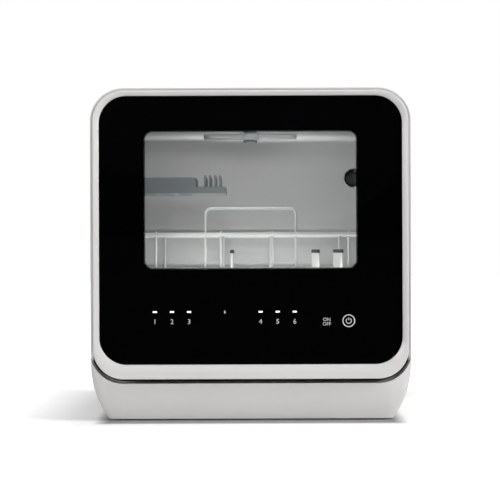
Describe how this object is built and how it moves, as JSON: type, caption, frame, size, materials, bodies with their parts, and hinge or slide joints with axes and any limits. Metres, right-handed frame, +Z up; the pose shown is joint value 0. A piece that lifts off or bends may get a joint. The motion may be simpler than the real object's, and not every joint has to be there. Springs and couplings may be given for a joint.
{
  "type": "countertop dishwasher",
  "caption": "Free-standing countertop dishwasher with a rounded silver cabinet, a drop-down black glass door with a window, a sliding wire basket and a built-in water tank.",
  "frame": {"origin": "on the worktop under the middle of the cabinet", "axes": "X to the user's right, Y from the door to the back, Z up"},
  "size_m": [0.427, 0.435, 0.442],
  "materials": {
    "silver_housing": "satin moulded plastic, pale silver grey",
    "casing_paint": "powder-coated sheet steel, pale silver grey",
    "dark_plastic": "black moulded plastic",
    "grey_plastic": "mid-grey moulded polypropylene",
    "light_plastic": "light grey moulded plastic",
    "white_plastic": "white moulded plastic",
    "tub_steel": "satin stainless sheet",
    "zinc_steel": "zinc-plated steel",
    "dark_rubber": "black rubber",
    "grey_rubber": "grey silicone seal",
    "coated_wire": "pale grey nylon coating on steel wire",
    "clear_glass": "clear toughened glass",
    "black_print": "black ceramic print on glass",
    "board_green": "circuit board with solder mask",
    "light_lens": "white light guide"
  },
  "bodies": {
    "root": {"base_tray": "silver_housing", "gap_strip": "dark_plastic", "feet": "dark_rubber", "cabinet_screws": "zinc_steel", "casing": "casing_paint", "front_frame": "light_plastic", "rear_panel": "zinc_steel", "vent_grille": "dark_plastic", "tub": "tub_steel", "tub_seal": "grey_rubber", "tub_rails": "light_plastic", "cutlery_shelf": "grey_plastic", "sump_bowl": "grey_plastic", "filter_plate": "zinc_steel", "heater_element": "tub_steel", "lower_arm_bearing": "grey_plastic", "riser_pipe": "grey_plastic", "wash_pump_housing": "grey_plastic", "wash_pump_motor": "dark_plastic", "drain_pump": "grey_plastic", "drain_pipe": "dark_rubber", "drain_outlet": "dark_plastic", "water_tank": "white_plastic", "fill_funnel": "grey_plastic", "inlet_valve": "grey_plastic", "fan_housing": "dark_plastic", "power_board": "board_green", "door_switch": "dark_plastic", "door_lock": "grey_plastic", "interior_lamp": "light_lens", "cord_gland": "dark_plastic", "hinge_brackets": "zinc_steel"},
    "door": {"door_frame": "silver_housing", "door_glass": "clear_glass", "glass_print": "black_print", "window_spacer": "dark_plastic", "inner_pane": "clear_glass", "door_liner": "tub_steel", "control_board": "board_green", "touch_pads": "grey_rubber", "indicator_lights": "light_lens", "detergent_cup": "grey_plastic", "door_striker": "zinc_steel", "hinge_pins": "zinc_steel", "hinge_springs": "zinc_steel", "door_screws": "zinc_steel"},
    "basket": {"basket_rails": "coated_wire", "basket_floor": "coated_wire", "plate_tines": "coated_wire", "tine_tips": "grey_plastic", "basket_glides": "light_plastic"},
    "lower_arm": {"lower_spray_arm": "grey_plastic"},
    "upper_arm": {"upper_spray_arm": "grey_plastic"},
    "filter": {"filter_cup": "grey_plastic"},
    "lid": {"fill_lid": "silver_housing"},
    "detergent_flap": {"detergent_lid": "light_plastic"},
    "wash_rotor": {"wash_impeller": "white_plastic"},
    "drain_rotor": {"drain_impeller": "white_plastic"},
    "fan": {"fan_rotor": "dark_plastic"},
    "plunger": {"switch_plunger": "white_plastic"}
  },
  "joints": [
    {"name": "door_hinge", "type": "hinge", "parent": "root", "child": "door", "pos_m": [0, -0.2063, 0.076], "axis": [1, 0, 0], "range_deg": [0, 90]},
    {"name": "basket_slide", "type": "slide", "parent": "root", "child": "basket", "axis": [0, -1, 0], "range_m": [0, 0.13]},
    {"name": "lower_arm_spin", "type": "hinge", "parent": "root", "child": "lower_arm", "pos_m": [0, -0.018, 0.122], "axis": [0, 0, 1], "continuous": true},
    {"name": "upper_arm_spin", "type": "hinge", "parent": "root", "child": "upper_arm", "pos_m": [0, -0.018, 0.387], "axis": [0, 0, 1], "continuous": true},
    {"name": "filter_twist", "type": "hinge", "parent": "root", "child": "filter", "pos_m": [0.044, -0.062, 0.1], "axis": [0, 0, 1], "range_deg": [0, 45]},
    {"name": "fill_lid_hinge", "type": "hinge", "parent": "root", "child": "lid", "pos_m": [-0.02, 0.1925, 0.439], "axis": [-1, 0, 0], "range_deg": [0, 100]},
    {"name": "detergent_lid_slide", "type": "slide", "parent": "door", "child": "detergent_flap", "axis": [1, 0, 0], "range_m": [0, 0.045]},
    {"name": "wash_pump_spin", "type": "hinge", "parent": "root", "child": "wash_rotor", "pos_m": [0.062, 0.066, 0.036], "axis": [0, 1, 0], "continuous": true},
    {"name": "drain_pump_spin", "type": "hinge", "parent": "root", "child": "drain_rotor", "pos_m": [-0.07, 0.086, 0.036], "axis": [0, 1, 0], "continuous": true},
    {"name": "fan_spin", "type": "hinge", "parent": "root", "child": "fan", "pos_m": [0.1555, 0.1815, 0.334], "axis": [0, 1, 0], "continuous": true},
    {"name": "switch_press", "type": "slide", "parent": "root", "child": "plunger", "axis": [0, 1, 0], "range_m": [0, 0.002], "stiffness_N_per_m": 200}
  ],
  "couplings": [
    {"joint": "basket_slide", "follows": "door_hinge", "m_per_rad": 0.082}
  ]
}
